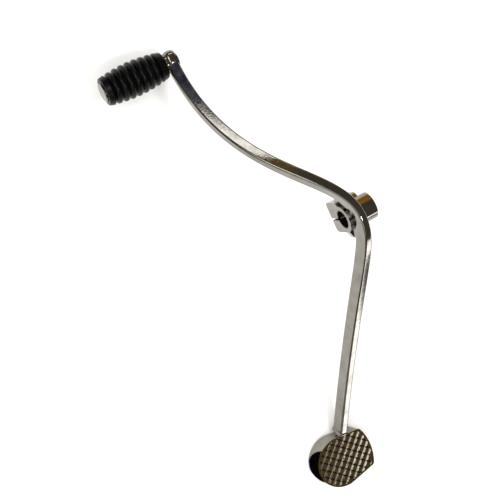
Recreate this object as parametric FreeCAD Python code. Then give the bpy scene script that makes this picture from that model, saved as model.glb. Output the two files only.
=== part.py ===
import FreeCAD, Part
import math
import os

# Heel-and-toe gear shift lever for a motorcycle, left-hand side. All sizes in mm.
# +X points forward to the toe peg, +Y outward from the engine, +Z up.
# The origin is on the axis of the shaft bore, which runs along Y.

V = FreeCAD.Vector

# Shaft boss and clamp
bore_radius = 6.5
boss_radius = 10.0
boss_outer_y = 9.0
boss_length = 23.0
spline_count = 24
spline_depth = 0.6
spline_width = 0.85
slit_width = 1.5
lug_front_x = 13.0
lug_rear_x = -10.0
lug_depth = 17.5
lug_length = 17.5
lug_corner = 3.0
lug_shoulder = 5.0
edge_break = 0.6

# Bar: its middle line over the boss, at the toe and at the heel
crown_height = 15.8
crown_y = 3.6
saddle_radius = 16.0
saddle_width = 4.8
toe_reach = 148.0
toe_offset = 55.3
toe_drop = 57.8
heel_reach = 166.0
heel_offset = 55.6
heel_drop = 71.8
toe_first_handle = 37.7
toe_last_handle = V(-92.2, 16.5, 57.4)
heel_first_handle = 22.9
heel_last_handle = V(125.2, -47.3, 53.3)
toe_width = 8.2
toe_height = 6.4
crown_width = 5.8
crown_bar_height = 12.6
heel_width = 6.4
heel_height = 11.7
bar_corner = 1.5
corner_steps = 3
arm_sections = 14
end_taper = 1.6

# Toe peg
eye_radius = 5.6
nose_reach = 2.6
peg_radius = 4.2
shoulder_radius = 7.4
shoulder_length = 2.0
rivet_radius = 5.2
rivet_height = 1.4
cap_radius = 7.0
cap_thickness = 1.0
cap_spigot_radius = 2.2
cap_spigot_length = 4.0

# Toe rubber
rubber_length = 47.6
rubber_inner_radius = 9.7
rubber_outer_radius = 10.2
rubber_swell = 2.7
rib_count = 7
groove_depth = 2.1
outer_collar = 5.0
inner_collar = 6.4
groove_share = 0.38
rib_shoulder = 0.8
rib_crown = 0.15
collar_chamfer = 1.0

# Heel pad
pad_radius = 20.9
pad_inner_reach = 23.5
pad_inner_half = 17.0
pad_inner_bulge = 3.6
pad_corner = 3.0
pad_depth = 12.0
pad_lean = 3.2
pad_rear_depth = 3.5
pad_bevel_front = -3.0
pad_bevel_rear = 14.0
pad_wall = 2.0
pad_tilt = 5.0
pad_centre_y = 64.7
pad_overlap = 2.0
knurl_pitch = 5.2
knurl_groove = 2.0
knurl_depth = 0.9
knurl_border = 1.2
knurl_lift = 0.01
least_groove = 0.01
plate_thickness = 2.0
weld_run = 4.0
weld_rise = 1.3
weld_start = 0.3

# Pinch bolt, M6
bolt_radius = 3.0
bolt_y = -2.4
bolt_drop = 12.7
head_flats = 10.0
head_height = 4.0
tip_stand_out = 1.0
washer_radius = 6.0
washer_thickness = 1.6
spring_radius = 5.1
spring_thickness = 1.5
spring_gap_width = 1.2
weld_radius = 1.3
dressed_weld_width = 4.5
spring_gap_turn = 20.0

# Clearances
running_clearance = 0.05
bolt_clearance = 0.3
end_gap = 0.3
plate_clearance = 0.1


def along_y(radius, y_from, y_to, x=0.0, z=0.0):
    return Part.makeCylinder(radius, y_to - y_from, V(x, y_from, z), V(0, 1, 0))


def along_x(radius, x_from, x_to):
    return Part.makeCylinder(radius, x_to - x_from, V(x_from, bolt_y, -bolt_drop), V(1, 0, 0))


def box(low, high):
    return Part.makeBox(high[0] - low[0], high[1] - low[1], high[2] - low[2], V(*low))


def polygon_prism(points, direction):
    return Part.Face(Part.makePolygon(points + [points[0]])).extrude(direction)


def edges_where(shape, test):
    return [edge for edge in shape.Edges if test(edge)]


def save(shape, node):
    if not shape.isValid():
        print("not valid:", node)
    shape.exportStep("parts/" + node + ".step")
    print(node, round(shape.Volume, 1), len(shape.Solids))


# The bar's middle line: one curve per arm, meeting level above the boss

crown = V(0, crown_y, crown_height)
toe_end = V(toe_reach, toe_offset, -toe_drop)
heel_end = V(-heel_reach, heel_offset, -heel_drop)


def arm_curve(end, first_handle, last_handle):
    curve = Part.BezierCurve()
    curve.setPoles([crown, crown + V(first_handle, 0, 0), end + last_handle, end])
    return curve


toe_curve = arm_curve(toe_end, toe_first_handle, toe_last_handle)
heel_curve = arm_curve(heel_end, -heel_first_handle, heel_last_handle)


def section_axes(tangent):
    side = V(0, 1, 0) - tangent * tangent.y
    side.normalize()
    return side, tangent.cross(side)


def rounded_section(centre, side, up, width, height, corner):
    # Each rounded corner is a few short flats, which the loft carries along the bar
    points = []
    for quarter in range(4):
        sign_side = 1 if quarter in (0, 3) else -1
        sign_up = 1 if quarter < 2 else -1
        for step in range(corner_steps + 1):
            angle = math.pi / 2 * (quarter + step / corner_steps)
            along_side = sign_side * (width / 2 - corner) + corner * math.cos(angle)
            along_up = sign_up * (height / 2 - corner) + corner * math.sin(angle)
            points.append(centre + side * along_side + up * along_up)
    return Part.makePolygon(points + [points[0]])


def bar_section(curve, share, direction, end_width, end_height, grow=0.0):
    tangent = curve.tangent(share)[0] * direction
    side, up = section_axes(tangent)
    blend = min(1.0, share * end_taper)
    width = crown_width + (end_width - crown_width) * blend + grow
    height = crown_bar_height + (end_height - crown_bar_height) * blend + grow
    return rounded_section(curve.value(share), side, up, width, height, bar_corner)


def bar_loft():
    shares = [(i + 1) / arm_sections for i in range(arm_sections)]
    heel = [bar_section(heel_curve, s, -1, heel_width, heel_height) for s in reversed(shares)]
    toe = [bar_section(toe_curve, s, 1, toe_width, toe_height) for s in shares]
    middle = bar_section(toe_curve, 0.0, 1, toe_width, toe_height)
    return Part.makeLoft(heel + [middle] + toe, True, False)


# Heel pad frame: middle of the face's round end, and its directions rearward and up

tilt = math.radians(pad_tilt)
pad_back = V(-math.cos(tilt), 0, -math.sin(tilt))
pad_up = V(-math.sin(tilt), 0, math.cos(tilt))
pad_middle = V(heel_end.x, pad_centre_y, heel_end.z)
pad_middle += pad_back * (pad_radius - pad_overlap) + pad_up * (pad_depth / 2)


def pad_point(out, back, up):
    return pad_middle + V(0, out, 0) + pad_back * back + pad_up * up


def pad_outline(inset, up):
    # Half-round outer end, sides that draw in to a narrower, slightly bowed inner end
    lean = -pad_lean * up / pad_depth
    radius = pad_radius - inset
    inner = lean + inset - pad_inner_reach
    half = pad_inner_half - inset
    front_corner = pad_point(inner, -half, up)
    rear_corner = pad_point(inner, half, up)
    front = pad_point(lean, -radius, up)
    rear = pad_point(lean, radius, up)
    edges = [
        Part.LineSegment(front_corner, front),
        Part.Arc(front, pad_point(lean + radius, 0, up), rear),
        Part.LineSegment(rear, rear_corner),
        Part.Arc(rear_corner, pad_point(inner - pad_inner_bulge, 0, up), front_corner),
    ]
    return Part.Wire([edge.toShape() for edge in edges])


def pad_block(inset, top, bottom):
    # The sides lean outward from the engine below the face
    block = Part.makeLoft([pad_outline(inset, bottom), pad_outline(inset, top)], True, True)
    return block.makeFillet(pad_corner - inset / 2, edges_where(block, is_pad_corner))


def is_pad_corner(edge):
    ends = [vertex.Point - pad_middle for vertex in edge.Vertexes]
    if len(ends) < 2:
        return False
    rises = abs((ends[0] - ends[1]).dot(pad_up)) > 0.5
    return rises and max(end.y for end in ends) < -pad_inner_reach / 2


def pad_bevel(inset):
    # What is cut away under the rear of the pad, set in from the bevel by inset
    slope = V(pad_bevel_rear - pad_bevel_front, pad_depth - pad_rear_depth, 0)
    shift = inset * slope.Length / slope.y
    low = -2 * pad_depth
    run = slope.x / slope.y * pad_depth
    points = [
        pad_point(-2 * pad_radius, pad_bevel_front - shift - run, low),
        pad_point(-2 * pad_radius, pad_bevel_rear - shift, -pad_rear_depth),
        pad_point(-2 * pad_radius, 2 * pad_radius, -pad_rear_depth),
        pad_point(-2 * pad_radius, 2 * pad_radius, low),
    ]
    return polygon_prism(points, V(0, 4 * pad_radius, 0))


def knurl_grooves():
    # V grooves along both diagonals leave rows of flat-topped studs standing on the face
    reach = 2 * pad_radius
    half = knurl_groove / 2
    rows = int(reach / knurl_pitch)
    cutters = []
    for sign in (1, -1):
        along = (V(0, 1, 0) + pad_back * sign) * math.sqrt(0.5)
        across = along.cross(pad_up)
        for i in range(-rows, rows + 1):
            start = pad_middle + across * (i * knurl_pitch) - along * reach
            tip = start - pad_up * knurl_depth
            left = start - across * half
            right = start + across * half
            lift = pad_up * knurl_lift
            cutters.append(polygon_prism([left + lift, tip, right + lift], along * (2 * reach)))
    return cutters


def heel_pad_cap():
    cap = pad_block(0, 0, -pad_depth).cut(pad_bevel(0))
    floor = pad_wall + knurl_depth
    hollow = pad_block(pad_wall, -floor, -pad_depth - 1).cut(pad_bevel(pad_wall))
    field = pad_block(knurl_border, knurl_lift, -knurl_depth - knurl_lift)
    grooves = [groove.common(field) for groove in knurl_grooves()]
    grooves = [groove for groove in grooves if groove.Volume > least_groove]
    return cap.cut(hollow).cut(grooves)


def heel_pad_plate():
    inset = pad_wall + plate_clearance
    plate = pad_block(inset, plate_thickness - pad_depth, -pad_depth)
    return plate.cut(pad_bevel(inset))


saddle_low_y = crown_y - saddle_width / 2
saddle_high_y = crown_y + saddle_width / 2


def lever_bar():
    bar = bar_loft()
    saddle = along_y(saddle_radius, saddle_low_y, saddle_high_y)
    saddle = saddle.cut(box((-saddle_radius, -boss_length, -saddle_radius), (saddle_radius, boss_length, 0)))
    eye_low = toe_offset - toe_width / 2
    eye_high = eye_low + toe_width
    nose_x = toe_reach + nose_reach
    eye = along_y(eye_radius, eye_low, eye_high, toe_reach, -toe_drop)
    nose = along_y(eye_radius, eye_low, eye_high, nose_x, -toe_drop)
    bridge = box((toe_reach, eye_low, -toe_drop - eye_radius), (nose_x, eye_high, -toe_drop + eye_radius))
    eye = eye.fuse([nose, bridge]).removeSplitter()
    rims = edges_where(eye, lambda e: abs(e.tangentAt(e.FirstParameter).y) < 0.1)
    eye = eye.makeFillet(bar_corner, rims)
    bar = bar.fuse([saddle, eye])
    bar = bar.cut(along_y(boss_radius, -boss_length, boss_length))
    bar = bar.cut(along_y(peg_radius, eye_low - 1, eye_high + 1, toe_reach, -toe_drop))
    # The arm still runs outward where it meets the eye, so the peg's shoulder and rivet are let into it
    bar = bar.cut(along_y(shoulder_radius, eye_high, eye_high + 2 * shoulder_length, toe_reach, -toe_drop))
    bar = bar.cut(along_y(rivet_radius, eye_low - 2 * rivet_height, eye_low, toe_reach, -toe_drop))
    return bar.cut(pad_block(0, pad_depth, -2 * pad_depth))


def hub_boss():
    inner_y = boss_outer_y - boss_length
    boss = along_y(boss_radius, inner_y, boss_outer_y)
    lug = box((lug_rear_x, boss_outer_y - lug_length, -lug_depth), (lug_front_x, boss_outer_y, 0))
    low_edges = edges_where(lug, lambda e: abs(e.tangentAt(0).y) > 0.9 and e.CenterOfMass.z < -lug_depth / 2)
    lug = lug.makeFillet(lug_corner, low_edges)
    front_top = edges_where(lug, lambda e: e.CenterOfMass.x > lug_front_x - 0.1 and e.CenterOfMass.z > -0.1)
    lug = lug.makeFillet(lug_shoulder, front_top)
    boss = boss.fuse(lug).removeSplitter()
    boss = boss.cut(along_y(bore_radius, inner_y - 1, boss_outer_y + 1))
    slit = box((-slit_width / 2, inner_y - 1, -lug_depth - 1), (slit_width / 2, boss_outer_y + 1, 0))
    notch_top = bore_radius + spline_depth
    notch = box((-spline_width / 2, inner_y - 1, 0), (spline_width / 2, boss_outer_y + 1, notch_top))
    notches = []
    for i in range(spline_count):
        turned = notch.copy()
        turned.rotate(V(0, 0, 0), V(0, 1, 0), 360.0 * i / spline_count)
        notches.append(turned)
    boss = boss.cut([slit] + notches)
    boss = boss.cut(along_x(bolt_radius + bolt_clearance, lug_rear_x - 1, 0))
    return boss.cut(along_x(bolt_radius + running_clearance, 0, lug_front_x + 1))


def upper_half(bead):
    bead = bead.cut(box((-boss_length, -boss_length, -boss_length), (boss_length, boss_length, 1.0)))
    bead = bead.cut(along_y(boss_radius, -boss_length, boss_length))
    return bead.cut(along_y(saddle_radius, saddle_low_y, saddle_high_y)).cut(bar_loft())


def hub_weld_outer():
    # Filled and dressed to a shallow cone, from just below the boss's face down to the saddle
    height = boss_outer_y - edge_break - saddle_high_y
    rim = boss_radius + dressed_weld_width
    cone = Part.makeCone(rim, boss_radius, height, V(0, saddle_high_y, 0), V(0, 1, 0))
    return upper_half(cone)


def hub_weld_inner():
    # Plain bead in the corner between boss and saddle
    bead = Part.makeTorus(boss_radius, weld_radius, V(0, saddle_low_y, 0), V(0, 1, 0), 0, 360, 360)
    return upper_half(bead)


def heel_pad_weld():
    # Dressed weld between the bar's upper face and the pad's front wall, thicker towards the pad
    total = heel_curve.length()
    start = heel_curve.parameterAtDistance(total - weld_run, 0)
    meet = heel_curve.parameterAtDistance(total - pad_overlap * 0.5, 0)
    near = bar_section(heel_curve, start, -1, heel_width, heel_height, weld_start)
    far = bar_section(heel_curve, meet, -1, heel_width, heel_height, weld_rise)
    bead = Part.makeLoft([near, far], True, True)
    return bead.cut(bar_loft()).cut(pad_block(0, pad_depth, -2 * pad_depth))


# Toe peg places along Y

eye_outer_y = toe_offset + toe_width / 2
eye_inner_y = toe_offset - toe_width / 2
rubber_low_y = eye_outer_y + shoulder_length + end_gap
rubber_high_y = rubber_low_y + rubber_length
peg_end_y = rubber_high_y + end_gap


def toe_peg():
    peg = along_y(peg_radius, eye_inner_y, peg_end_y, toe_reach, -toe_drop)
    shoulder = along_y(shoulder_radius, eye_outer_y, eye_outer_y + shoulder_length, toe_reach, -toe_drop)
    shoulder = shoulder.makeFillet(edge_break, edges_where(shoulder, lambda e: e.Closed))
    # Riveted end: a shallow dome on the engine side of the eye
    dome_radius = (rivet_radius ** 2 + rivet_height ** 2) / (2 * rivet_height)
    ball_y = eye_inner_y - rivet_height + dome_radius
    ball = Part.makeSphere(dome_radius, V(toe_reach, ball_y, -toe_drop))
    dome_y = eye_inner_y - rivet_height
    dome = ball.common(along_y(rivet_radius + 1, dome_y, eye_inner_y, toe_reach, -toe_drop))
    peg = peg.fuse([shoulder, dome]).removeSplitter()
    return peg.cut(along_y(cap_spigot_radius, peg_end_y - cap_spigot_length, peg_end_y, toe_reach, -toe_drop))


def toe_end_cap():
    cap = along_y(cap_radius, peg_end_y, peg_end_y + cap_thickness, toe_reach, -toe_drop)
    outer = edges_where(cap, lambda e: e.Closed and e.CenterOfMass.y > peg_end_y + cap_thickness / 2)
    cap = cap.makeFillet(edge_break, outer)
    spigot = along_y(cap_spigot_radius, peg_end_y - cap_spigot_length, peg_end_y, toe_reach, -toe_drop)
    return cap.fuse(spigot).removeSplitter()


def toe_rubber():
    # Barrel-shaped sleeve: smooth collars at both ends and round ribs between
    def barrel(y):
        share = (y - rubber_low_y) / rubber_length
        straight = rubber_inner_radius + (rubber_outer_radius - rubber_inner_radius) * share
        return straight + 4 * rubber_swell * share * (1 - share)

    def at(y, radius):
        return V(toe_reach, y, -toe_drop + radius)

    rib_pitch = (rubber_length - inner_collar - outer_collar) / rib_count
    groove = rib_pitch * groove_share
    inner = peg_radius + running_clearance
    first = rubber_low_y + inner_collar
    edges = []
    here = at(rubber_low_y, inner)

    def line_to(point):
        nonlocal here
        edges.append(Part.LineSegment(here, point).toShape())
        here = point

    def arc_to(middle, point):
        nonlocal here
        edges.append(Part.Arc(here, middle, point).toShape())
        here = point

    line_to(at(rubber_low_y, rubber_inner_radius - collar_chamfer))
    line_to(at(rubber_low_y + collar_chamfer, rubber_inner_radius))
    for i in range(rib_count + 1):
        low = first + i * rib_pitch - groove / 2
        high = low + groove
        depth = barrel((low + high) / 2) - groove_depth
        if i == 0:
            line_to(at(low, barrel(low) - rib_shoulder))
        arc_to(at((low + high) / 2, depth), at(high, barrel(high) - rib_shoulder))
        if i < rib_count:
            stop = low + rib_pitch
            crest = (high + stop) / 2
            arc_to(at(crest, barrel(crest) + rib_crown), at(stop, barrel(stop) - rib_shoulder))
    line_to(at(rubber_high_y - collar_chamfer, rubber_outer_radius))
    line_to(at(rubber_high_y, rubber_outer_radius - collar_chamfer))
    line_to(at(rubber_high_y, inner))
    line_to(at(rubber_low_y, inner))
    profile = Part.Face(Part.Wire(edges))
    return profile.revolve(V(toe_reach, 0, -toe_drop), V(0, 1, 0), 360)


# Pinch bolt: its head and washers bear on the rear face of the lug

washer_x = lug_rear_x - washer_thickness
spring_x = washer_x - spring_thickness
tip_x = lug_front_x + tip_stand_out


def ring(x, thickness, radius, hole):
    return along_x(radius, x, x + thickness).cut(along_x(hole, x - 1, x + thickness + 1))


def plain_washer():
    return ring(washer_x, washer_thickness, washer_radius, bolt_radius + bolt_clearance)


def spring_washer():
    washer = ring(spring_x, spring_thickness, spring_radius, bolt_radius + bolt_clearance)
    gap = box((-spring_thickness, 0, 0), (spring_thickness, spring_gap_width, spring_radius + 1))
    gap.rotate(V(0, 0, 0), V(0, 0, 1), spring_gap_turn)
    gap.translate(V(spring_x + spring_thickness / 2, bolt_y, -bolt_drop))
    return washer.cut(gap)


def pinch_bolt():
    corner_radius = head_flats / math.sqrt(3)
    points = []
    for i in range(6):
        angle = math.radians(60 * i)
        offset_y = corner_radius * math.cos(angle)
        offset_z = corner_radius * math.sin(angle)
        points.append(V(spring_x - head_height, bolt_y + offset_y, -bolt_drop + offset_z))
    head = polygon_prism(points, V(head_height, 0, 0))
    # The cone trims the head's six outer corners
    rim = head_flats / 2
    top = V(spring_x - head_height, bolt_y, -bolt_drop)
    trim = Part.makeCone(rim, rim + 2 * head_height, 2 * head_height, top, V(1, 0, 0))
    head = head.common(trim)
    shank = along_x(bolt_radius, spring_x, tip_x)
    tip_edge = edges_where(shank, lambda e: e.Closed and e.CenterOfMass.x > tip_x - 1)
    shank = shank.makeChamfer(edge_break, tip_edge)
    return head.fuse(shank).removeSplitter()


os.makedirs("parts", exist_ok=True)
save(lever_bar(), "lever_bar")
save(hub_boss(), "hub_boss")
save(hub_weld_outer(), "hub_weld_outer")
save(hub_weld_inner(), "hub_weld_inner")
save(toe_peg(), "toe_peg")
save(toe_end_cap(), "toe_end_cap")
save(toe_rubber(), "toe_rubber")
save(heel_pad_cap(), "heel_pad_cap")
save(heel_pad_plate(), "heel_pad_plate")
save(heel_pad_weld(), "heel_pad_weld")
save(pinch_bolt(), "pinch_bolt")
save(spring_washer(), "spring_washer")
save(plain_washer(), "plain_washer")
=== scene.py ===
import bpy
import bmesh
from math import radians, pi, sin, cos
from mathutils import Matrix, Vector


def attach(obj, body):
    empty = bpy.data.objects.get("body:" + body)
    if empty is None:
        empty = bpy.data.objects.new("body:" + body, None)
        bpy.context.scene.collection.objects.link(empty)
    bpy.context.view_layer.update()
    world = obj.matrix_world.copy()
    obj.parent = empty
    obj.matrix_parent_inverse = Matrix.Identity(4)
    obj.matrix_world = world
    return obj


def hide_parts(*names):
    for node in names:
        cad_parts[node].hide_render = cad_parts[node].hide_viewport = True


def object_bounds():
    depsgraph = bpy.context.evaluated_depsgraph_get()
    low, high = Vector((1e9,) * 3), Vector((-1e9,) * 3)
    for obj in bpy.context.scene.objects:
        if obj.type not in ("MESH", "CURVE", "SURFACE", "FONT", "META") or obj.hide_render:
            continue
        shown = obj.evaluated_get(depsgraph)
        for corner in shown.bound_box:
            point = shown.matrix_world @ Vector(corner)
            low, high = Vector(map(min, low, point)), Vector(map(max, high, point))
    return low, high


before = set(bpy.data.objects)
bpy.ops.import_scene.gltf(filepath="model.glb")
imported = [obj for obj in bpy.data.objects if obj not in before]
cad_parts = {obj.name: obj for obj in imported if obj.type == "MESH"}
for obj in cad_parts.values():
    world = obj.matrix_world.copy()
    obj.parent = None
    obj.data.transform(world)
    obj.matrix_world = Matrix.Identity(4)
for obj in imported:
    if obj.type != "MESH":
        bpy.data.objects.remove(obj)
cadLow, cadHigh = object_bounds()
print("frame loaded:", len(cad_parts), "nodes")

mm = 0.001
mergeGap = 0.01 * mm


def hexColour(code):
    # sRGB hex to linear rgba
    channels = [int(code[i:i + 2], 16) / 255 for i in (1, 3, 5)]
    linear = [c / 12.92 if c <= 0.04045 else ((c + 0.055) / 1.055) ** 2.4 for c in channels]
    return linear + [1.0]


def patternScale(sizeMm):
    # noise scale on Object coordinates in metres, for features about sizeMm across
    return 1000.0 / sizeMm


def addNode(tree, kind, links=None, stops=(), **settings):
    # settings named like a socket go to the socket, the rest to the node; stops are a ramp's colours
    node = tree.nodes.new(kind)
    for name, value in settings.items():
        socketName = name.replace("_", " ")
        if socketName in node.inputs:
            node.inputs[socketName].default_value = value
        else:
            setattr(node, name, value)
    for socketName, source in (links or {}).items():
        tree.links.new(source, node.inputs[socketName])
    for index, (place, colour) in enumerate(stops):
        elements = node.color_ramp.elements
        element = elements[index] if index < len(elements) else elements.new(place)
        element.position = place
        element.color = colour
    return node


def newMaterial(name):
    material = bpy.data.materials.new(name)
    material.use_nodes = True
    tree = material.node_tree
    return material, tree, tree.nodes["Principled BSDF"]


def grey(value):
    return [value, value, value, 1.0]


# materials

chromeLook = {
    "bright": "#8c8983",
    "hazed": "#7b776f",
    "clean": 0.06,
    "smudged": 0.2,
    "smudgeMm": 9.0,
    "orangePeelMm": 1.4,
    "peelStrength": 0.09,
    "peelDepthMm": 0.4,
    "pitMm": 0.8,
    "pitStrength": 0.2,
    "pitDepthMm": 0.05,
}


def decorativeChrome(name, look, pits=0.25, ripple=0.0):
    # nickel-chrome plate on polished steel: mirror bright, faint orange peel, hazed where it was handled
    material, tree, shader = newMaterial(name)
    place = addNode(tree, "ShaderNodeTexCoord").outputs["Object"]
    smudge = addNode(tree, "ShaderNodeTexNoise", {"Vector": place},
                     Scale=patternScale(look["smudgeMm"]), Detail=5.0, Roughness=0.6)
    colour = addNode(tree, "ShaderNodeValToRGB", {"Fac": smudge.outputs["Fac"]},
                     stops=[(0.35, hexColour(look["bright"])), (0.72, hexColour(look["hazed"]))])
    tree.links.new(colour.outputs["Color"], shader.inputs["Base Color"])
    rough = addNode(tree, "ShaderNodeMapRange", {"Value": smudge.outputs["Fac"]},
                    From_Min=0.4, From_Max=0.75, To_Min=look["clean"], To_Max=look["smudged"])
    tree.links.new(rough.outputs["Result"], shader.inputs["Roughness"])
    shader.inputs["Metallic"].default_value = 1.0
    peel = addNode(tree, "ShaderNodeTexNoise", {"Vector": place},
                   Scale=patternScale(look["orangePeelMm"]), Detail=2.0)
    pit = addNode(tree, "ShaderNodeTexVoronoi", {"Vector": place}, Scale=patternScale(look["pitMm"]))
    pitMask = addNode(tree, "ShaderNodeValToRGB", {"Fac": pit.outputs["Distance"]},
                      stops=[(0.05, grey(0.0)), (0.16, grey(1.0))])
    peelBump = addNode(tree, "ShaderNodeBump", {"Height": peel.outputs["Fac"]},
                       Strength=look["peelStrength"] + ripple, Distance=look["peelDepthMm"] * mm)
    pitBump = addNode(tree, "ShaderNodeBump",
                      {"Height": pitMask.outputs["Color"], "Normal": peelBump.outputs["Normal"]},
                      Strength=pits * look["pitStrength"], Distance=look["pitDepthMm"] * mm)
    tree.links.new(pitBump.outputs["Normal"], shader.inputs["Normal"])
    return material


rubberLook = {
    "skin": "#040404",
    "worn": "#0a0a09",
    "sheenDull": 0.26,
    "sheenBright": 0.38,
    "specular": 0.16,
    "grainMm": 0.5,
    "grainStrength": 0.18,
    "grainDepthMm": 0.12,
    "scuffMm": 6.0,
}


def mouldedRubber(look):
    # black nitrile rubber from a polished mould: deep black, soft broad highlights, finely grained
    material, tree, shader = newMaterial("mouldedRubber")
    place = addNode(tree, "ShaderNodeTexCoord").outputs["Object"]
    scuff = addNode(tree, "ShaderNodeTexNoise", {"Vector": place},
                    Scale=patternScale(look["scuffMm"]), Detail=6.0)
    colour = addNode(tree, "ShaderNodeValToRGB", {"Fac": scuff.outputs["Fac"]},
                     stops=[(0.45, hexColour(look["skin"])), (0.8, hexColour(look["worn"]))])
    tree.links.new(colour.outputs["Color"], shader.inputs["Base Color"])
    rough = addNode(tree, "ShaderNodeMapRange", {"Value": scuff.outputs["Fac"]},
                    From_Min=0.35, From_Max=0.7, To_Min=look["sheenDull"], To_Max=look["sheenBright"])
    tree.links.new(rough.outputs["Result"], shader.inputs["Roughness"])
    grain = addNode(tree, "ShaderNodeTexNoise", {"Vector": place},
                    Scale=patternScale(look["grainMm"]), Detail=3.0)
    shader.inputs["Specular IOR Level"].default_value = look["specular"]
    bump = addNode(tree, "ShaderNodeBump", {"Height": grain.outputs["Fac"]},
                   Strength=look["grainStrength"], Distance=look["grainDepthMm"] * mm)
    tree.links.new(bump.outputs["Normal"], shader.inputs["Normal"])
    return material


# bright zinc on a machine-made bolt: duller and greyer than the chrome, faintly streaked
zincLook = {
    "colours": [(0.3, "#8d8f8c"), (0.75, "#5f5d55")],
    "roughness": (0.22, 0.5),
    "metallic": 1.0,
    "cloudMm": 2.5,
    "detail": 5.0,
    "bump": 0.15,
}

# broached bore and sawn slit, left bare and oiled: rough steel with faint tool marks, its colour darkened to
# near black as painted shade in these recesses
bareSteelAndShadeLook = {
    "colours": [(0.3, "#0f0d0b"), (0.8, "#2b2824")],
    "roughness": (0.35, 0.7),
    "metallic": 0.8,
    "cloudMm": 2.0,
    "detail": 4.0,
    "bump": 0.2,
}


def cloudedSteel(name, look):
    # one cloudy pattern drives colour, roughness and a slight bump
    material, tree, shader = newMaterial(name)
    place = addNode(tree, "ShaderNodeTexCoord").outputs["Object"]
    cloud = addNode(tree, "ShaderNodeTexNoise", {"Vector": place},
                    Scale=patternScale(look["cloudMm"]), Detail=look["detail"])
    colour = addNode(tree, "ShaderNodeValToRGB", {"Fac": cloud.outputs["Fac"]},
                     stops=[(share, hexColour(code)) for share, code in look["colours"]])
    tree.links.new(colour.outputs["Color"], shader.inputs["Base Color"])
    smoothest, roughest = look["roughness"]
    rough = addNode(tree, "ShaderNodeMapRange", {"Value": cloud.outputs["Fac"]},
                    To_Min=smoothest, To_Max=roughest)
    tree.links.new(rough.outputs["Result"], shader.inputs["Roughness"])
    shader.inputs["Metallic"].default_value = look["metallic"]
    bump = addNode(tree, "ShaderNodeBump", {"Height": cloud.outputs["Fac"]},
                   Strength=look["bump"], Distance=0.1 * mm)
    tree.links.new(bump.outputs["Normal"], shader.inputs["Normal"])
    return material


barChrome = decorativeChrome("barChrome", chromeLook)
padChrome = decorativeChrome("padChrome", chromeLook)
weldChrome = decorativeChrome("weldChrome", chromeLook, ripple=0.25)
capChrome = decorativeChrome("capChrome", chromeLook, pits=0.1)
rubberSkin = mouldedRubber(rubberLook)
fastenerZinc = cloudedSteel("zincPlate", zincLook)
# bare steel darkened to near black: painted shade for the bore and the slit
boreSteelAndShade = cloudedSteel("bareSteelAndShade", bareSteelAndShadeLook)
print("materials made")


# bar: a straight rounded strip first, then bent along the two arms

barShape = {
    "crown": (0.0, 3.6, 15.8),
    "toeEnd": (148.0, 55.3, -57.8),
    "toeHandles": ((37.7, 0, 0), (-92.2, 16.5, 57.4)),
    "heelEnd": (-166.0, 55.6, -71.8),
    "heelHandles": ((-22.9, 0, 0), (125.2, -47.3, 53.3)),
    "crownSize": (5.8, 12.6),
    "toeSize": (8.2, 6.4),
    "heelSize": (6.4, 11.7),
    "taper": 1.6,
    "cornerMm": 1.5,
    "cornerSegments": 5,
    "rings": 180,
    "heelTrim": 0.004,
    "saddle": {"radius": 16.0, "from": 0.95, "to": 6.3, "foot": 0.2, "edge": 0.5, "sides": 96},
    "eye": {"radius": 5.6, "reach": 2.6, "from": 51.2, "to": 59.4, "cornerMm": 2.8, "flat": 0.1},
}


def bendPoint(end, handles, share):
    crown = Vector(barShape["crown"])
    end = Vector(end)
    first, last = crown + Vector(handles[0]), end + Vector(handles[1])
    rest = 1 - share
    place = (crown * rest ** 3 + first * 3 * rest ** 2 * share
             + last * 3 * rest * share ** 2 + end * share ** 3)
    along = (first - crown) * rest ** 2 + (last - first) * 2 * rest * share + (end - last) * share ** 2
    return place, along.normalized()


def startEdit(obj):
    bpy.ops.object.select_all(action="DESELECT")
    obj.select_set(True)
    bpy.context.view_layer.objects.active = obj
    bpy.ops.object.mode_set(mode="EDIT")
    bpy.ops.mesh.select_all(action="DESELECT")
    return bmesh.from_edit_mesh(obj.data)


wideFaceWeight = 80


def finishSmooth(obj, angle=40):
    # faces smooth, with the wide ones kept flat by their weight
    bpy.ops.object.select_all(action="DESELECT")
    obj.select_set(True)
    bpy.context.view_layer.objects.active = obj
    bpy.ops.object.shade_smooth_by_angle(angle=radians(angle))
    weigh = obj.modifiers.new("wideFaces", "WEIGHTED_NORMAL")
    weigh.keep_sharp = True
    weigh.weight = wideFaceWeight
    bpy.ops.object.modifier_apply(modifier="wideFaces")


def newPrimitive(name):
    piece = bpy.context.object
    piece.name = name
    bpy.ops.object.transform_apply(location=True, rotation=True, scale=True)
    return piece


def dress(piece, body, slot, material, *nodes):
    piece.data.materials.clear()
    piece.data.materials.append(material)
    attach(piece, body)
    if nodes:
        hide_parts(*nodes)


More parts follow.
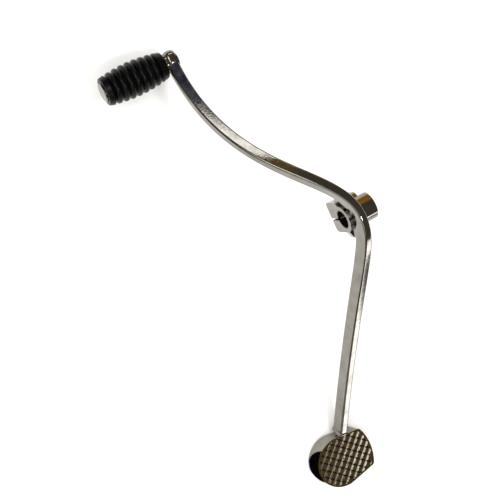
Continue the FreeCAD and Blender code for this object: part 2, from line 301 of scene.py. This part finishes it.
def makeBar(look):
    bpy.ops.object.select_all(action="DESELECT")
    width, height = look["crownSize"]
    bpy.ops.mesh.primitive_cube_add(size=1, scale=(2.0, width, height))
    bar = newPrimitive("leverBar")
    # the strip is two units long, from -1 at the heel to 1 at the toe, and its section is in mm
    mesh = startEdit(bar)
    for edge in mesh.edges:
        if abs(edge.verts[0].co.x - edge.verts[1].co.x) > 1:
            edge.select = True
    bmesh.update_edit_mesh(bar.data)
    bpy.ops.mesh.bevel(offset=look["cornerMm"], segments=look["cornerSegments"], affect="EDGES")
    mesh = bmesh.from_edit_mesh(bar.data)
    for edge in mesh.edges:
        edge.select = abs(edge.verts[0].co.x - edge.verts[1].co.x) > 1
    bmesh.update_edit_mesh(bar.data)
    bpy.ops.mesh.subdivide(number_cuts=look["rings"])
    bpy.ops.object.mode_set(mode="OBJECT")
    for vertex in bar.data.vertices:
        share = max(vertex.co.x, look["heelTrim"] - 1)
        toeSide = share > 0
        end, handles, size = ((look["toeEnd"], look["toeHandles"], look["toeSize"]) if toeSide
                              else (look["heelEnd"], look["heelHandles"], look["heelSize"]))
        place, along = bendPoint(end, handles, abs(share))
        if not toeSide:
            along = -along
        side = (Vector((0, 1, 0)) - along * along.y).normalized()
        up = along.cross(side)
        blend = min(1.0, abs(share) * look["taper"])
        growSide = (size[0] - width) * blend / 2
        growUp = (size[1] - height) * blend / 2
        outSide = vertex.co.y + (growSide if vertex.co.y > 0 else -growSide)
        outUp = vertex.co.z + (growUp if vertex.co.z > 0 else -growUp)
        vertex.co = (place + side * outSide + up * outUp) * mm
    return bar


def makeSaddle(look):
    # half disc that joins the bar's underside to the boss
    saddle = look["saddle"]
    middle = (saddle["from"] + saddle["to"]) / 2
    bpy.ops.object.select_all(action="DESELECT")
    bpy.ops.mesh.primitive_cylinder_add(vertices=saddle["sides"], radius=saddle["radius"] * mm,
                                        depth=(saddle["to"] - saddle["from"]) * mm,
                                        location=(0, middle * mm, 0), rotation=(pi / 2, 0, 0))
    disc = newPrimitive("saddle")
    startEdit(disc)
    bpy.ops.mesh.select_all(action="SELECT")
    bpy.ops.mesh.bisect(plane_co=(0, 0, saddle["foot"] * mm), plane_no=(0, 0, 1),
                        use_fill=True, clear_inner=True)
    bpy.ops.mesh.select_all(action="SELECT")
    bpy.ops.mesh.bevel(offset=saddle["edge"] * mm, segments=3, affect="EDGES")
    bpy.ops.object.mode_set(mode="OBJECT")
    return disc


def makeEye(look):
    eye = look["eye"]
    toe = Vector(look["toeEnd"])
    depth = eye["to"] - eye["from"]
    bpy.ops.object.select_all(action="DESELECT")
    bpy.ops.mesh.primitive_cube_add(
        size=1, location=((toe.x + eye["reach"] / 2) * mm, (eye["from"] + depth / 2) * mm, toe.z * mm),
        scale=((2 * eye["radius"] + eye["reach"]) * mm, depth * mm, 2 * eye["radius"] * mm))
    block = newPrimitive("toeEye")
    mesh = startEdit(block)
    for edge in mesh.edges:
        if abs(edge.verts[0].co.y - edge.verts[1].co.y) > depth * mm / 2:
            edge.select = True
    bmesh.update_edit_mesh(block.data)
    bpy.ops.mesh.bevel(offset=(eye["radius"] - eye["flat"]) * mm, segments=16, affect="EDGES")
    mesh = bmesh.from_edit_mesh(block.data)
    middle = (eye["from"] + depth / 2) * mm
    nearRim = depth * mm * 0.4
    for edge in mesh.edges:
        # only the two rims: edges that lie level at either end
        first, second = edge.verts[0].co.y, edge.verts[1].co.y
        edge.select = abs(first - second) < mergeGap and abs(first - middle) > nearRim
    bmesh.update_edit_mesh(block.data)
    bpy.ops.mesh.bevel(offset=eye["cornerMm"] * mm, segments=5, affect="EDGES")
    bpy.ops.object.mode_set(mode="OBJECT")
    return block


def joined(first, *others):
    bpy.ops.object.select_all(action="DESELECT")
    for obj in (first,) + others:
        obj.select_set(True)
    bpy.context.view_layer.objects.active = first
    bpy.ops.object.join()
    return first


leverBar = joined(makeBar(barShape), makeSaddle(barShape), makeEye(barShape))
finishSmooth(leverBar)
dress(leverBar, "lever", "chrome_bar", barChrome, "lever_bar")
print("bar bent")


# softened copies of the machined and pressed pieces: merged, edges broken, smooth

softening = {
    "mergeMm": 0.004,
    "flatAngle": 0.4,
    "bevelSegments": 2,
    "bevelAngle": 32,
}


def softenedCopy(node, name, edgeMm):
    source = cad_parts[node]
    piece = source.copy()
    piece.data = source.data.copy()
    piece.name = name
    for key in list(piece.keys()):
        del piece[key]
    piece.parent = None
    bpy.context.scene.collection.objects.link(piece)
    startEdit(piece)
    bpy.ops.mesh.select_all(action="SELECT")
    bpy.ops.mesh.remove_doubles(threshold=softening["mergeMm"] * mm)
    bpy.ops.mesh.dissolve_limited(angle_limit=radians(softening["flatAngle"]))
    bpy.ops.object.mode_set(mode="OBJECT")
    if edgeMm:
        bevel = piece.modifiers.new("edgeBreak", "BEVEL")
        bevel.width = edgeMm * mm
        bevel.segments = softening["bevelSegments"]
        bevel.limit_method = "ANGLE"
        bevel.angle_limit = radians(softening["bevelAngle"])
        bpy.context.view_layer.objects.active = piece
        bpy.ops.object.modifier_apply(modifier="edgeBreak")
    finishSmooth(piece)
    return piece


for node, name, body, slot, material, edgeMm in (
        ("hub_weld_inner", "hubWeldInner", "lever", "chrome_weld", weldChrome, 0),
        ("toe_peg", "toePeg", "lever", "chrome_bar", barChrome, 0),
        ("toe_end_cap", "toeEndCap", "lever", "chrome_cap", capChrome, 0),
        ("heel_pad_cap", "heelPadCap", "lever", "chrome_pad", padChrome, 0.2),
        ("heel_pad_plate", "heelPadPlate", "lever", "chrome_pad", padChrome, 0.2),
        ("heel_pad_weld", "heelPadWeld", "lever", "chrome_weld", weldChrome, 0.5),
        ("pinch_bolt", "pinchBolt", "bolt", "zinc_fastener", fastenerZinc, 0.15),
        ("spring_washer", "springWasher", "washers", "zinc_fastener", fastenerZinc, 0.15),
        ("plain_washer", "plainWasher", "washers", "zinc_fastener", fastenerZinc, 0.15)):
    dress(softenedCopy(node, name, edgeMm), body, slot, material, node)


# pieces turned from a section

def spunPiece(name, points, middle, axis, angle, steps, filled=False):
    # a closed chain of edges through the points, spun about the axis
    bpy.ops.object.select_all(action="DESELECT")
    bpy.ops.mesh.primitive_plane_add(size=1)
    piece = newPrimitive(name)
    startEdit(piece)
    bpy.ops.mesh.select_all(action="SELECT")
    bpy.ops.mesh.delete(type="VERT")
    mesh = bmesh.from_edit_mesh(piece.data)
    chain = [mesh.verts.new(point) for point in points]
    for first, second in zip(chain, chain[1:] + chain[:1]):
        mesh.edges.new((first, second))
    if filled:
        mesh.faces.new(chain)
    bmesh.update_edit_mesh(piece.data)
    bpy.ops.mesh.select_all(action="SELECT")
    bpy.ops.mesh.spin(steps=steps, angle=angle, center=middle, axis=axis)
    bpy.ops.mesh.select_all(action="SELECT")
    bpy.ops.mesh.remove_doubles(threshold=mergeGap)
    bpy.ops.mesh.normals_make_consistent(inside=False)
    bpy.ops.object.mode_set(mode="OBJECT")
    finishSmooth(piece, 50)
    return piece


# toe rubber: full section drawn once, spun about the peg

rubberShape = {
    "middle": (148.0, -57.8),
    "from": 61.7,
    "length": 47.6,
    "bore": 4.25,
    "innerEnd": 9.7,
    "outerEnd": 10.2,
    "swell": 2.7,
    "ribs": 7,
    "outerCollar": 5.0,
    "innerCollar": 6.4,
    "grooveDepth": 2.1,
    "grooveShare": 0.38,
    "ribShoulder": 0.7,
    "collarEdge": 0.4,
    "lipMm": 1.0,
    "samples": 14,
    "steps": 96,
}


def rubberProfile(look):
    # (place along the peg, radius) from the inner end to the outer end
    def barrel(along):
        share = along / look["length"]
        straight = look["innerEnd"] + (look["outerEnd"] - look["innerEnd"]) * share
        return straight + 4 * look["swell"] * share * (1 - share)

    lip, length, edge = look["lipMm"], look["length"], look["collarEdge"]
    shoulder, samples = look["ribShoulder"], look["samples"]
    pitch = (length - look["innerCollar"] - look["outerCollar"]) / look["ribs"]
    firstCollar = look["innerCollar"] - look["grooveShare"] / 2 * pitch
    lastCollar = length - look["outerCollar"] + look["grooveShare"] / 2 * pitch
    points = [(0, look["bore"]), (0, look["innerEnd"] - lip)]
    points += [(lip * (1 - cos(a)), look["innerEnd"] - lip + lip * sin(a)) for a in (0.4, 0.8, 1.2, pi / 2)]
    points += [(firstCollar - edge, barrel(firstCollar - edge)), (firstCollar, barrel(firstCollar) - edge)]
    for rib in range(look["ribs"] * samples + 1):
        phase = rib / samples
        along = look["innerCollar"] + phase * pitch
        fromGroove = abs((phase + 0.5) % 1 - 0.5) / (look["grooveShare"] / 2)
        if fromGroove < 1:
            dip = look["grooveDepth"] - (look["grooveDepth"] - shoulder) * fromGroove ** 2
        else:
            ribShare = (fromGroove - 1) / (1 / look["grooveShare"] - 1)
            dip = shoulder * (1 - ribShare) ** 2
        points.append((along, barrel(along) - dip))
    points += [(lastCollar, barrel(lastCollar) - edge), (lastCollar + edge, barrel(lastCollar + edge))]
    points += [(length - lip * (1 - sin(a)), look["outerEnd"] - lip + lip * cos(a))
               for a in (0, 0.4, 0.8, 1.2)]
    points += [(length, look["outerEnd"] - lip), (length, look["bore"])]
    return points


def makeRubber(look):
    middleX, middleZ = look["middle"]
    section = [(middleX * mm, (look["from"] + along) * mm, (middleZ + radius) * mm)
               for along, radius in rubberProfile(look)]
    return spunPiece("toeRubber", section, (middleX * mm, 0, middleZ * mm), (0, 1, 0), 2 * pi, look["steps"])


dress(makeRubber(rubberShape), "rubber", "black_rubber", rubberSkin, "toe_rubber")
print("rubber spun")


# outer hub weld: hollow fillet dressed smooth, only round the upper half of the boss

filletShape = {
    "boss": 9.7,
    "rim": 15.2,
    "top": 8.4,
    "foot": 6.4,
    "sunk": 0.4,
    "hollow": 0.12,
    "curveSteps": 8,
    "steps": 64,
}


def makeHubFillet(look):
    boss, rim, top, foot = look["boss"], look["rim"], look["top"], look["foot"]
    section = [(boss, foot - look["sunk"]), (boss, top)]
    for step in range(1, look["curveSteps"] + 1):
        share = step / look["curveSteps"]
        droop = look["hollow"] * sin(pi * share)
        section.append((boss + (rim - boss) * share, top - (top - foot) * share - droop))
    section.append((rim, foot - look["sunk"]))
    points = [(radius * mm, along * mm, 0) for radius, along in section]
    return spunPiece("hubWeldOuter", points, (0, 0, 0), (0, -1, 0), pi, look["steps"], filled=True)


dress(makeHubFillet(filletShape), "lever", "chrome_weld", barChrome, "hub_weld_outer")
print("hub fillet made")


# clamp hub: chrome outside, bare steel in the bore and the slit, painted near black there as shade

hubShape = {"edgeMm": 0.25, "boreReachMm": 7.4, "slitReachMm": 1.1, "squarely": 0.7}

hubBoss = softenedCopy("hub_boss", "hubBoss", hubShape["edgeMm"])
dress(hubBoss, "lever", "chrome_bar", barChrome, "hub_boss")
hubBoss.data.materials.append(boreSteelAndShade)
boreReach = hubShape["boreReachMm"] * mm
slitReach = hubShape["slitReachMm"] * mm
squarely = hubShape["squarely"]
# faces in the bore and the slit take the near-black steel: painted shade inside the recesses
for face in hubBoss.data.polygons:
    centre = face.center
    fromAxis = (centre.x ** 2 + centre.z ** 2) ** 0.5
    inBore = fromAxis < boreReach and abs(face.normal.y) < squarely
    inSlit = abs(centre.x) < slitReach and centre.z < 0 and abs(face.normal.x) > squarely
    if inBore or inSlit:
        face.material_index = 1
print("pieces made")


# floor, light and camera

stageLook = {
    "tent": "#fbfbfa",
    "tentStrength": 1.08,
    "room": "#69635a",
    "paper": "#f4f3f0",
    "fibre": "#efeeeb",
    "fibreMm": 3.0,
    "paperSize": 60.0,
}


def paperFloor(look):
    # seamless matt paper, large enough to fill every reflection below the horizon
    bpy.ops.object.select_all(action="DESELECT")
    bpy.ops.mesh.primitive_plane_add(size=look["paperSize"], location=(0, 0, cadLow.z))
    floor = bpy.context.object
    floor.name = "paperFloor"
    material, tree, shader = newMaterial("mattPaper")
    place = addNode(tree, "ShaderNodeTexCoord").outputs["Object"]
    fibre = addNode(tree, "ShaderNodeTexNoise", {"Vector": place},
                    Scale=patternScale(look["fibreMm"]), Detail=4.0)
    colour = addNode(tree, "ShaderNodeValToRGB", {"Fac": fibre.outputs["Fac"]},
                     stops=[(0.0, hexColour(look["fibre"])), (1.0, hexColour(look["paper"]))])
    tree.links.new(colour.outputs["Color"], shader.inputs["Base Color"])
    shader.inputs["Roughness"].default_value = 0.9
    floor.data.materials.append(material)


def aimed(place, target):
    return (Vector(target) - Vector(place)).to_track_quat("-Z", "Y").to_euler()


lamps = {
    # name: place, target, size in metres, watts
    "keyLight": ((0.45, 0.95, 1.5), (0, 0, 0), (1.0, 1.0), 10),
    "fillLight": ((-0.9, 1.2, 1.2), (0, 0, 0), (1.2, 1.2), 5),
    "ribLight": ((-0.30, -0.16, 1.1), (0.148, 0.08, -0.058), (0.18, 0.18), 4),
}


def softLight(name, place, target, size, power):
    light = bpy.data.lights.new(name, "AREA")
    light.shape = "RECTANGLE"
    light.size, light.size_y = size
    light.energy = power
    lamp = bpy.data.objects.new(name, light)
    lamp.location = place
    lamp.rotation_euler = aimed(place, target)
    lamp.visible_camera = False
    bpy.context.scene.collection.objects.link(lamp)


cards = {
    # name: place, target, size in metres, colour, strength
    "rearWindow": ((-1.45, -0.45, 0.32), (-0.12, 0.04, -0.05), (0.9, 0.27), "#ffffff", 4.4),
    "frontWindow": ((1.25, -0.45, 0.72), (0.08, 0.03, -0.02), (0.6, 0.22), "#ffffff", 3.6),
    "navyPanel": ((1.35, -0.45, 0.45), (0.08, 0.03, -0.02), (0.7, 0.3), "#3b3f63", 1.0),
    "amberCeiling": ((-0.64, -0.135, 0.56), (-0.185, 0.065, -0.066), (0.3, 0.3), "#8f7436", 0.9),
    "amberSide": ((0.21, -0.003, 0.13), (0.148, 0.055, -0.055), (0.09, 0.08), "#8f7436", 0.9),
    "amberNear": ((0.085, -0.048, 0.025), (0, -0.01, 0), (0.05, 0.09), "#c08a2c", 1.2),
    "navyFloor": ((-0.178, 0.107, cadLow.z + 1.2 * mm), (-0.178, 0.107, 1.0), (0.056, 0.042), "#10101e", 1.0),
}


def reflector(name, place, target, size, colour, strength):
    # a card that only the polished metal sees
    bpy.ops.object.select_all(action="DESELECT")
    bpy.ops.mesh.primitive_plane_add(size=1, location=place, rotation=aimed(place, target))
    card = bpy.context.object
    card.name = name
    card.scale = (size[0], size[1], 1)
    card.visible_camera = card.visible_diffuse = card.visible_shadow = False
    material = bpy.data.materials.new(name + "Card")
    material.use_nodes = True
    tree = material.node_tree
    tree.nodes.clear()
    glow = addNode(tree, "ShaderNodeEmission", Color=hexColour(colour), Strength=strength)
    addNode(tree, "ShaderNodeOutputMaterial", {"Surface": glow.outputs["Emission"]})
    card.data.materials.append(material)


def studioWorld(look):
    # pale light tent all round; the polished metal sees the dim warm room behind it instead
    world = bpy.data.worlds.new("studio")
    bpy.context.scene.world = world
    world.use_nodes = True
    tree = world.node_tree
    tent = tree.nodes["Background"]
    tent.inputs["Color"].default_value = hexColour(look["tent"])
    tent.inputs["Strength"].default_value = look["tentStrength"]
    room = addNode(tree, "ShaderNodeBackground", Color=hexColour(look["room"]), Strength=1.0)
    mirrored = addNode(tree, "ShaderNodeLightPath").outputs["Is Glossy Ray"]
    mixed = addNode(tree, "ShaderNodeMixShader", {"Fac": mirrored})
    tree.links.new(tent.outputs["Background"], mixed.inputs[1])
    tree.links.new(room.outputs["Background"], mixed.inputs[2])
    tree.links.new(mixed.outputs["Shader"], tree.nodes["World Output"].inputs["Surface"])


paperFloor(stageLook)
studioWorld(stageLook)
for name, lamp in lamps.items():
    softLight(name, *lamp)
for name, card in cards.items():
    reflector(name, *card)

cameraLook = {
    "place": (0.12401, 0.24616, 0.56926),
    "turn": (-2.4716, -19.2925, -116.3488),
    "lens": 64.8,
    "sensor": 36.0,
    "nearest": 0.01,
}
cameraData = bpy.data.cameras.new("camera")
cameraData.lens = cameraLook["lens"]
cameraData.sensor_width = cameraLook["sensor"]
cameraData.clip_start = cameraLook["nearest"]
camera = bpy.data.objects.new("camera", cameraData)
camera.location = cameraLook["place"]
camera.rotation_euler = [radians(a) for a in cameraLook["turn"]]
bpy.context.scene.collection.objects.link(camera)
bpy.context.scene.camera = camera
bpy.context.scene.view_settings.view_transform = "Standard"
print("stage set")
